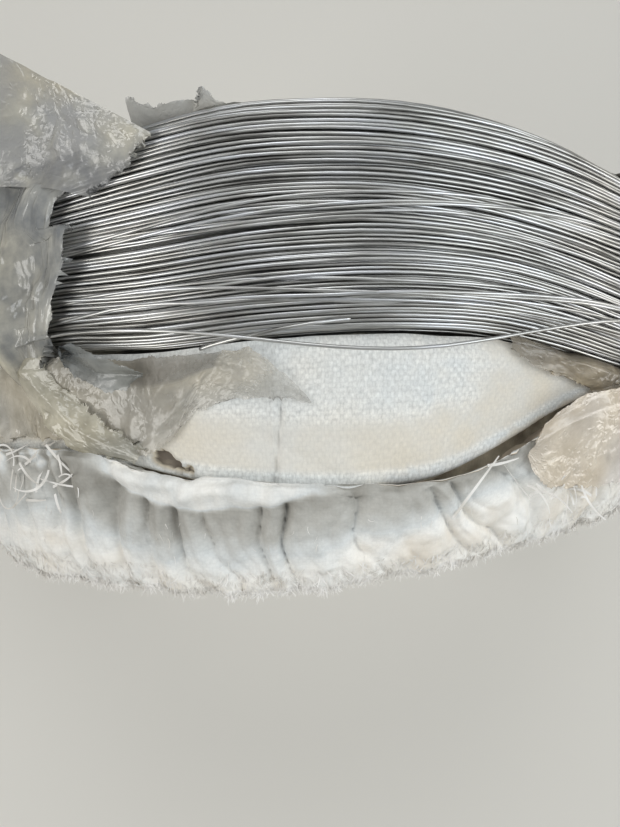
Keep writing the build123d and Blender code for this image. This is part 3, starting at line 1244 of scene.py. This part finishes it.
    def execute(self, context):
        size, crumple = context.scene.wire_coil, context.scene.wire_coil_film.crumple
        rng = np.random.default_rng(8)
        films = {name: clear_film(f"polythene {name}", *looks[:-1]) for name, looks in self.FILMS.items()}
        sheets, girth = self.lining(size, rng)
        clouded, soiled = ([np.full(points.shape[:2], value) for points, _ in sheets] for value in (0.7, 0.0))
        mesh = sheet_mesh("film_lining", sheets, clouded=clouded, soiled=soiled)
        piece = new_piece("film_lining", mesh, films["milky film"], ["film_wrap"])
        # Some of it is torn away over the open rim
        for name, (lines, rows, columns, base, film, clouds, rough, (lean, spread)) in self.SCRAPS.items():
            points, lift = scrap(lines, rows, columns, base, 0.9 * MM, rng)
            flat = cut_size(points)
            patchy = smoothstep(2.2 * rumpled(points, 26 * MM, 2, len(name), hard=False) - 0.6)
            height = rough * crumple * crumpled(flat, 20 * MM, 7, lean, spread, rng)
            down, right = np.linspace(0, 1, rows)[:, None], np.linspace(0, 1, columns)[None, :]
            if film == "dusty film":
                patchy = np.maximum(
                    patchy, 2 * smoothstep((right - 0.55) / 0.1) * smoothstep((0.85 - right) / 0.1)
                )
            fine = self.FILMS[film][-1]
            height += fine * rough * crumple * patchy * crumpled(flat, 5 * MM, 8, lean, spread + 0.3, rng)
            # It lies on the wires, and further left on the cloth that is wound over them
            turn = np.degrees(np.arctan2(points[..., 0], points[..., 2] - COIL_MIDDLE[2]))
            lowest = 0.6 * MM + 3.6 * MM * smoothstep((-34 - turn) / 4) * (base is rim_top)
            height = np.where(lift > 0, np.maximum(height, lowest - lift), height)
            points = points + height[..., None] * outward(points)
            clouded = clouds[0] + (clouds[1] - clouds[0]) * np.linspace(0, 1, columns) + 0 * lift
            if film == "sandy film":
                clouded = clouded * (1 - 0.75 * smoothstep((down + 0.5 * (patchy - 0.5) - 0.7) / 0.25))
            soiled = self.dust_and_shade(film, down, right) + 0 * lift
            mesh = sheet_mesh(name, [(points, flat)], clouded=[np.minimum(clouded, 0.92)], soiled=[soiled])
            piece = new_piece(name, mesh, films[film])
        return {"FINISHED"}


class COIL_OT_wrap(bpy.types.Operator):
    """Wind the strip of woven cloth round the coil, cut open over the top of its rim"""

    bl_idname = "coil.wrap"
    bl_label = "Wrap"

    def execute(self, context):
        size = context.scene.wire_coil_cloth
        sheets = windings(size, context.scene.wire_coil.bevel, np.random.default_rng(5))
        # Dirty in broad blotches, near the ground, and along one edge of each winding
        stain = [
            0.9 * (rumpled(points, 60 * MM, 3, 9) - 0.35)
            + 1.6 * smoothstep((45 * MM - points[..., 2]) / (60 * MM)) * rumpled(points, 24 * MM, 3, 5)
            + 1.2 * np.exp(-(flat[..., 0] + size.strip / 2) / (5 * MM)) * rumpled(points, 20 * MM, 2, 4)
            for points, flat in sheets
        ]
        mesh = sheet_mesh("wrap", sheets, stain=stain)
        cloth = woven_tape("woven tape wrap", "#dfddd6", "#cdbfa6", 0.2)
        piece = new_piece("wrap", mesh, cloth, ["woven_wrap"])
        # Some of the strip is cut away over the open rim
        return {"FINISHED"}


class COIL_OT_flap(bpy.types.Operator):
    """Fold the flap of cloth out to the front, with its frayed band and loose fibres"""

    bl_idname = "coil.flap"
    bl_label = "Flap"

    def smooth_sheet(self):
        """The smooth sheet, from where it leaves the coil to where it dips under the band."""
        first, last = FLAP_ENDS
        angle = np.radians(np.linspace(first, last, 300))[None, :]
        fold = eased(BAND_FOLD, angle)
        share = np.linspace(0, 1, 64)[:, None]
        root = eased(FRONT_EDGE, angle) - 1.2 * MM
        under_band = (
            20 * MM * smoothstep((angle - angle[0, 0]) / 0.1) * smoothstep((angle[0, -1] - angle) / 0.1)
        )
        across = root + share * (fold - under_band - root)
        angle, across = np.broadcast_arrays(angle, across)
        points = place(angle, across, flap_sheet(angle, across))
        flat = cut_size(points)
        x, y = angle * 0.2, -across
        rng = np.random.default_rng(21)
        near_fold = (across - fold) / MM
        height = creases(x, y, (2, 0.4), 300, 30 * MM, 3.0 * MM, 0.45 * MM, 1.1, rng)
        height += (
            creases(x, y, (2, 0.4), 160, 16 * MM, 1.1 * MM, 0.4 * MM, 0.5, rng)
            * smoothstep((np.degrees(angle) - 8) / 8)
        )
        height += 1.2 * MM * (rumpled(points, 30 * MM, 2, 2, hard=False) - 0.5)
        turn = np.degrees(angle)
        # The seam, a hem along the fold, and the dip under the band
        seam = np.interp(across / MM, (-114, -105, -76), (-4.7, -4.1, -3.0))
        height -= (
            2.5 * MM * np.exp(-(((turn - seam) * 3.5 / 0.9) ** 2)) * smoothstep((-across / MM - 72) / 10)
        )
        height += 0.5 * MM * np.exp(-(((near_fold - 3.0) / 3.0) ** 2)) * smoothstep((turn - 2) / 5)
        height -= 10 * MM * smoothstep((0.5 - near_fold) / 5)
        points = points + height[..., None] * outward(points)
        beige = smoothstep((36 - near_fold) / 16) * smoothstep((near_fold - 4) / 4)
        beige = np.maximum(beige, 1.2 * smoothstep((turn - 14) / 16) * smoothstep((near_fold - 4) / 4))
        uneven = rumpled(points, 12 * MM, 2, 5, hard=False) - 0.5
        hem = (
            smoothstep((np.interp(turn, (1, 6, 13, 19, 24), (0, 6, 10, 6, 0)) + 9 * uneven - near_fold) / 3)
            * smoothstep((turn - 1) / 4)
        )
        # Painted shade and dirt in brown where it dips under the band and at its right edge, and dark brown
        # round a hole beside the torn film
        sunk = 2.6 * smoothstep((-0.5 - near_fold) / 4)
        sunk = np.maximum(
            sunk, 1.1 * smoothstep((6 + 4 * uneven - near_fold) / 4) * smoothstep((turn - 20) / 7)
        )
        hole = np.exp(-(((turn + 18) * 3.4 / 11) ** 2) - (((near_fold - 4 + 0.6 * (turn + 18)) / 5) ** 2))
        hole = (
            smoothstep(5 * hole - 1.5)
            * smoothstep(5 * hole + 2.5 * (rumpled(points, 5 * MM, 2, 5, hard=False) - 0.5) - 1.1)
        )
        points = points - (4 * MM * hole)[..., None] * outward(points)
        mottled = 0.6 * (rumpled(points, 16 * MM, 3, 6) - 0.4) * smoothstep((turn - 8) / 12)
        stain = 0.6 * beige + mottled - 0.45 * hem - 0.2 * (1 - beige) + np.maximum(sunk, 2.3 * hole)
        return points, flat, stain

    def frayed_band(self):
        """The thick band of gathered cloth, its pleats across it, from the fold to its frayed edge."""
        first, last = FLAP_ENDS
        angle = np.radians(np.linspace(first, last, 420))[None, :]
        fold, edge = eased(BAND_FOLD, angle), eased(BAND_EDGE, angle)
        fold = fold - eased(FOLD_GAP, angle)
        # Its first rows turn under at the fold, as a lip
        lip = np.array((7.0, 5.0, 3.0, 1.2, 0.2, 0.0))[:, None] * MM
        rows = np.linspace(0, 1, 52)[:, None] ** 0.9
        down = np.vstack([rows[:1] + 0 * fold] * len(lip) + [rows + 0 * fold])
        across = fold + down * (edge - fold)
        drop = np.vstack([lip + 0 * fold, 0 * rows + 0 * fold])
        across[: len(lip)] -= 0.35 * lip * (1 - lip / (9 * MM))
        angle = angle + 0 * across
        points = place(angle, across, flap_band(angle, across) - 1.6 * drop)
        flat = cut_size(points)
        rng = np.random.default_rng(33)
        slant = np.interp(np.degrees(angle), (-60, -30, 0, 10, 25, 45), (-0.2, -0.1, 0.15, 0.5, 0.9, 0.6))
        x = angle * 190 * MM + slant * (across - fold)
        x = x + 9 * MM * (rumpled(points, 45 * MM, 2, 12, hard=False) - 0.5)
        # Pleats 12 to 30 mm wide, each as plump and as sharply parted as it is drawn
        starts = np.cumsum(rng.uniform(12, 30, 60)) * MM - 0.3
        pleat = np.clip(np.interp(x, starts, np.arange(len(starts))), 0, len(starts) - 1.001)
        number = pleat.astype(int)
        plump = rng.uniform(0.5, 1.2, len(starts))[number]
        sharp = rng.uniform(0.1, 1.0, len(starts))
        before, after = x - starts[number], starts[number + 1] - x
        valley = (
            sharp[number] * np.exp(-before / (1.8 * MM)) + sharp[number + 1] * np.exp(-after / (1.8 * MM))
        )
        share = np.clip((fold - across) / (fold - edge), 0, 1)
        turn = np.degrees(angle)
        # At the left the fold is a white roll, and the pleats start under it
        roll = np.interp(turn, (-34, -26, -18, -12, -6, 6), (0.06, 0.18, 0.3, 0.32, 0.25, 0.08))
        roll = roll + 0.05 * (rumpled(points, 16 * MM, 2, 13, hard=False) - 0.5)
        amount = (
            smoothstep((share - roll) / 0.09 + 0.3)
            * np.interp(share, (0, 0.5, 0.85, 1), (1.0, 0.95, 0.5, 0.3))
        )
        amount = amount * (1 - 0.5 * smoothstep((turn - 28) / 8))
        height = (
            6.0 * MM * plump * amount * (np.abs(np.sin(pi * pleat)) ** 0.8 - 0.7) - 3.5 * MM * amount * valley
        )
        small = np.abs(np.sin(pi * 2.7 * pleat + 2.5 * rumpled(points, 25 * MM, 2, 6, hard=False)))
        height += 1.2 * MM * amount * (small**0.6 - 0.6)
        height += 3.0 * MM * (rumpled(points, 24 * MM, 3, 4) - 0.5)
        height += 0.8 * MM * (rumpled(points, 5 * MM, 2, 7) - 0.5) * smoothstep(share * 2.5 - 1)
        height += 1.6 * MM * np.sin(pi * np.clip(share / roll, 0, 1)) * smoothstep((8 - turn) / 6)
        height += 0.9 * MM * crumpled(flat, 17 * MM, 6, 0, 0.8, rng) * smoothstep(share / 0.05)
        crossed = crumpled(flat, 9 * MM, 6, 0.5, 0.6, rng)
        height += 0.8 * MM * crossed * smoothstep(share / 0.05) * smoothstep((turn - 6) / 8)
        wrinkled = (
            crumpled(flat, 11 * MM, 5, pi / 2, 0.7, rng) + 0.8 * crumpled(flat, 5 * MM, 6, 0.6, 1.2, rng)
        )
        above, to_left = smoothstep((roll - share) / 0.06 + 1), smoothstep((8 - turn) / 6)
        height += 1.1 * MM * wrinkled * above * to_left * (0.3 + 0.7 * smoothstep(share / 0.06))
        points = points + height[..., None] * outward(points)
        # Shade and light are painted into its colour: darkest under the fold and whitest near its cut edge,
        # where it is lit, and the roll at the left is white too
        on_roll = (
            smoothstep((roll - share) / 0.06 + 0.5) * smoothstep((6 - turn) / 8) * smoothstep((turn + 30) / 6)
        )
        below = np.clip(share - roll * smoothstep((8 - turn) / 6), 0, 1)
        stain = np.interp(below, (0, 0.12, 0.3, 0.45, 0.65, 1), (-1.5, -1.25, -0.9, -0.4, 0.3, 0.2))
        stain = stain * (1 - on_roll) + 0.1 * on_roll
        # To the right the shade painted under the fold is lighter, and the cloth is warmer further down
        to_right = smoothstep((turn - 8) / 14)
        stain = (
            stain * (1 - to_right)
            + to_right * np.interp(below, (0, 0.12, 0.3, 0.5, 0.7, 1), (-1.3, -1.0, -0.4, 0.45, 0.6, 0.4))
        )
        stain += 0.6 * (rumpled(points, 22 * MM, 2, 8) - 0.5) + 0.1 * smoothstep((-8 - turn) / 6)
        # The lip that turns under at the fold is painted dark brown to the right, as shade in the gap
        stain[: len(lip)] = np.maximum(stain[: len(lip)], 2.1 * smoothstep((turn[: len(lip)] - 6) / 6))
        # Shade painted brown in the hollow at the left, where the torn film ends
        patches = smoothstep(2.4 * rumpled(points, 14 * MM, 2, 3) - 0.7)
        stain += 2.2 * smoothstep((-31 - turn) / 5) * np.exp(-((share / 0.16) ** 2)) * patches
        return points, flat, stain

    def ribbons(self, name, starts, heading, up, length, width, curl, rng):
        """Loose tapes and fibres, each a narrow strip that leaves its start and curls."""
        steps = 16 if len(starts) < 100 else 5
        along = np.linspace(0, 1, steps)[None, :, None]
        side = np.cross(heading, up)[:, None]
        heading, up = heading[:, None], up[:, None]
        length, width, curl = length[:, None, None], width[:, None, None], curl[:, None, None]
        bend = curl * rng.normal(0, 1, (len(starts), 1, 1))
        bend = np.where(np.abs(bend) < 0.01, 0.01, bend)
        rise = 0.4 * np.minimum(curl, 0.6) * rng.normal(0.3, 0.7, (len(starts), 1, 1)) * along**2
        ahead, aside = np.sin(bend * along) / bend, (1 - np.cos(bend * along)) / bend
        line = starts[:, None] + length * (ahead * heading + aside * side + rise * up)
        twist = rng.uniform(-0.9, 0.9, (len(starts), 1, 1)) * along
        beside = np.cos(bend * along) * side - np.sin(bend * along) * heading
        breadth = np.cos(twist) * beside + np.sin(twist) * up
        edge = 0.5 * width * breadth * (1 - 0.6 * along**2)
        grids = np.stack([line - edge, line + edge], axis=1)
        bm = bmesh.new()
        bmesh.ops.create_grid(bm, x_segments=steps - 1, y_segments=1, size=1)
        one = finished(bm, "one tape")
        x, y, _ = vertex_places(one).T
        column, row = np.round((x + 1) / 2 * (steps - 1)).astype(int), (y > 0).astype(int)
        bm = bmesh.new()
        for _ in grids:
            bm.from_mesh(one)
        mesh = finished(bm, name)
        mesh.vertices.foreach_set("co", grids[:, row, column].ravel())
        bpy.data.meshes.remove(one)
        return mesh

    def execute(self, context):
        sheet_points, sheet_flat, sheet_stain = self.smooth_sheet()
        mesh = sheet_mesh("flap_sheet", [(sheet_points, sheet_flat)], stain=[sheet_stain])
        cloth = woven_tape("woven tape flap", "#e4e1d9", "#e8ddc8", 0.32)
        sheet = new_piece("flap_sheet", mesh, cloth, ["cloth_flap"])
        wide, long = sheet_flat[-1, 0, 1], sheet_flat[0, -1, 0]

        points, flat, stain = self.frayed_band()
        mesh = sheet_mesh("flap_band", [(points, flat)], stain=[stain])
        # The band's cloth is the sheet's, given a lighter white as painted light
        frayed = woven_tape("woven tape band", "#f8f5ee", "#dfd0b9", 0.1)
        band = new_piece("flap_band", mesh, frayed)

        rng = np.random.default_rng(55)
        rows, columns = points.shape[:2]
        normal = outward(points)
        toward = np.gradient(points, axis=0)
        toward /= np.linalg.norm(toward, axis=2, keepdims=True)
        sideways = np.cross(toward, normal)
        groups = []
        for count, low, high, length, width, curl, lift in (
            (3400, rows - 3, rows, (1.5, 5.5), (0.2, 0.6), 0.9, 0.0),
            (1500, rows * 0.8, rows - 1, (1.5, 5), (0.2, 0.6), 0.9, 0.15),
            (120, rows * 0.4, rows * 0.8, (2, 5), (0.15, 0.35), 0.9, 0.05),
        ):
            row = rng.uniform(low, high - 1, count).astype(int)
            column = rng.integers(0, columns, count)
            spread = rng.normal(0, 0.55, (count, 1))
            start, up = points[row, column], normal[row, column]
            heading = toward[row, column] + spread * sideways[row, column]
            heading = heading + rng.uniform(0, lift + 0.1, (count, 1)) * up
            heading /= np.linalg.norm(heading, axis=1, keepdims=True)
            long, wide = (rng.uniform(*limits, count) * MM for limits in (length, width))
            groups.append((start, heading, up, long, wide, np.full(count, curl)))
        tape = loose_tape()
        merged = [np.concatenate(parts) for parts in zip(*groups)]
        fringe = new_piece("fringe", self.ribbons("fringe", *merged, rng), tape)

        # A tangle at the left, and threads that lie over the edge of the patch of film
        at_left, at_right = 18, 16
        count = at_left + at_right
        angle = np.radians(np.r_[rng.uniform(-43, -29, at_left), rng.uniform(27, 44, at_right)])
        across = np.r_[rng.uniform(-112, -84, at_left), rng.uniform(-121, -109, at_right)] * MM
        starts = place(angle, across, flap_top(angle, across) + 3 * MM)
        lean = rng.uniform(0, tau, count)
        up = place(angle, 0 * across, np.ones(count)) - place(angle, 0 * across, np.zeros(count))
        flat_way = np.cross(up, (0, 1, 0))
        heading = np.cos(lean)[:, None] * flat_way + np.sin(lean)[:, None] * np.array((0, 1, 0))
        first, last = (
            place(np.radians(turn), across * MM, (out + 1.2) * MM)
            for turn, across, out in np.array(LOOSE_TAPES).transpose(1, 2, 0)
        )
        reach = np.linalg.norm(last - first, axis=1)
        apart = (first - COIL_MIDDLE) * (1, 0, 1)
        apart /= np.linalg.norm(apart, axis=1, keepdims=True)
        starts, up = np.vstack([first, starts]), np.vstack([apart, up])
        heading = np.vstack([(last - first) / reach[:, None], heading])
        length = np.r_[reach, rng.uniform(12, 24, count) * MM]
        width = np.r_[np.full(len(reach), 1.3 * MM), rng.uniform(0.7, 1.5, count) * MM]
        curl = np.r_[np.full(len(reach), 0.3), np.full(count, 1.7)]
        curls = self.ribbons("loose_tapes", starts, heading, up, length, width, curl, rng)
        curls = new_piece("loose_tapes", curls, tape)
        return {"FINISHED"}


class COIL_OT_stage(bpy.types.Operator):
    """Put the floor, the lights and the camera round the coil"""

    bl_idname = "coil.stage"
    bl_label = "Stage"

    # From the middle of the coil to the camera in millimetres, and the way that the camera looks
    EYE_POINT = (0.0, -150.7, 571.7)
    FORWARD = (0.0026, 0.1787, -0.9839)
    UP = (0.0243, 0.9836, 0.1786)
    # The focal length and the frame's longer side in pixels, and the same side of the sensor in millimetres
    FOCAL_PIXELS, FRAME_PIXELS, SENSOR = 900, 827, 36

    def execute(self, context):
        colours = context.scene.wire_coil_stage
        scene = context.scene
        scene.view_settings.view_transform = "Standard"
        bm = bmesh.new()
        bmesh.ops.create_grid(bm, x_segments=1, y_segments=1, size=4)
        floor_mesh = finished(bm, "floor")
        material, tree = new_material("pale floor")
        shader = add_node(tree, "BsdfPrincipled", {"Base Color": colours.floor[:], "Roughness": 0.9})
        add_node(tree, "OutputMaterial", {"Surface": shader.outputs["BSDF"]})
        floor_mesh.materials.append(material)
        floor = bpy.data.objects.new("floor", floor_mesh)
        scene.collection.objects.link(floor)

        world = bpy.data.worlds.new("soft sky")
        scene.world = world
        world.use_nodes = True
        background = world.node_tree.nodes["Background"]
        background.inputs["Color"].default_value = colours.sky[:]
        background.inputs["Strength"].default_value = 0.55

        for name, at, size, power, spread, colour in (
            ("left window", (-1.3, -0.6, 1.5), 1.1, 12, 180, (1.0, 0.985, 0.95)),
            ("right window", (1.4, -0.3, 1.5), 1.4, 13.5, 180, (0.92, 0.97, 1.0)),
            ("low window", (2.0, -0.2, 0.5), 0.9, 0.9, 60, (1.0, 0.98, 0.95)),
            ("overhead", (0.0, 0.9, 1.9), 1.0, 8, 180, (0.96, 0.98, 1.0)),
        ):
            light = bpy.data.lights.new(name, "AREA")
            light.size = size
            light.energy = power
            light.spread = radians(spread)
            light.color = colour
            lamp = bpy.data.objects.new(name, light)
            lamp.location = at
            aim = Vector(COIL_MIDDLE) + Vector((0, 0, COIL_RADIUS)) - Vector(at)
            lamp.rotation_euler = aim.to_track_quat("-Z", "Y").to_euler()
            scene.collection.objects.link(lamp)

        forward, up = Vector(self.FORWARD).normalized(), Vector(self.UP).normalized()
        camera = bpy.data.objects.new("camera", bpy.data.cameras.new("camera"))
        camera.data.sensor_width = self.SENSOR
        camera.data.lens = self.SENSOR * self.FOCAL_PIXELS / self.FRAME_PIXELS
        turn = Matrix((forward.cross(up), up, -forward)).transposed().to_4x4()
        camera.matrix_world = Matrix.Translation(Vector(COIL_MIDDLE) + MM * Vector(self.EYE_POINT)) @ turn
        scene.collection.objects.link(camera)
        scene.camera = camera
        return {"FINISHED"}


class COIL_PT_panel(bpy.types.Panel):
    """The coil's sizes and the steps that make it"""

    bl_label = "Wire Coil"
    bl_idname = "COIL_PT_panel"
    bl_space_type = "VIEW_3D"
    bl_region_type = "UI"
    bl_category = "Wire Coil"

    def draw(self, context):
        layout = self.layout
        for group in GROUPS:
            settings = getattr(context.scene, group)
            for name in settings.bl_rna.properties.keys():
                if name not in {"rna_type", "name"}:
                    layout.prop(settings, name)
        for operator in OPERATORS:
            layout.operator(operator.bl_idname)


GROUPS = {
    "wire_coil": WireSettings,
    "wire_coil_cloth": ClothSettings,
    "wire_coil_film": FilmSettings,
    "wire_coil_stage": StageSettings,
}
OPERATORS = (COIL_OT_turns, COIL_OT_film, COIL_OT_wrap, COIL_OT_flap, COIL_OT_stage)
CLASSES = (*GROUPS.values(), *OPERATORS, COIL_PT_panel)


def register():
    for cls in CLASSES:
        bpy.utils.register_class(cls)
    for group, settings in GROUPS.items():
        setattr(bpy.types.Scene, group, PointerProperty(type=settings))


def unregister():
    for group in GROUPS:
        delattr(bpy.types.Scene, group)
    for cls in reversed(CLASSES):
        bpy.utils.unregister_class(cls)


def main():
    register()
    bpy.ops.coil.turns()
    bpy.ops.coil.film()
    bpy.ops.coil.wrap()
    bpy.ops.coil.flap()
    bpy.ops.coil.stage()


if __name__ == "__main__":
    main()
